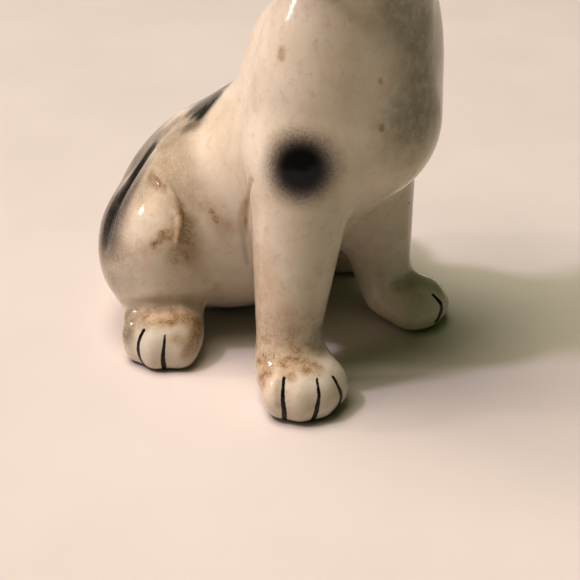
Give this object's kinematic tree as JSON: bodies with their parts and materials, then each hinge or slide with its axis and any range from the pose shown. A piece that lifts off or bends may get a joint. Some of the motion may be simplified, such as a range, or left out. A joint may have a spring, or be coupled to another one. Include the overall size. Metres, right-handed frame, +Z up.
{
  "type": "dog figurine",
  "caption": "Seated hound puppy figurine in glazed slip-cast ceramic, hollow torso and head, stuck-on legs, paws, ears and tail, with airbrushed dark patches",
  "frame": {"origin": "middle of the footprint's bounding box, on the surface the figurine stands on", "axes": "+Z up, the dog faces -Y, +X is the dog's own left side"},
  "size_m": [0.0905, 0.1154, 0.1505],
  "materials": {
    "glaze_body": "gloss cream-white glaze over airbrushed dark patches",
    "glaze_limb": "gloss cream-white glaze with brown age staining and painted toe lines",
    "glaze_dark": "gloss glaze over black-brown airbrushed colour"
  },
  "bodies": {
    "root": {"torso": "glaze_body", "head": "glaze_body", "ear_left": "glaze_dark", "ear_right": "glaze_dark", "foreleg_left": "glaze_limb", "foreleg_right": "glaze_limb", "hind_paw_left": "glaze_limb", "hind_paw_right": "glaze_limb", "tail": "glaze_dark"}
  },
  "joints": []
}
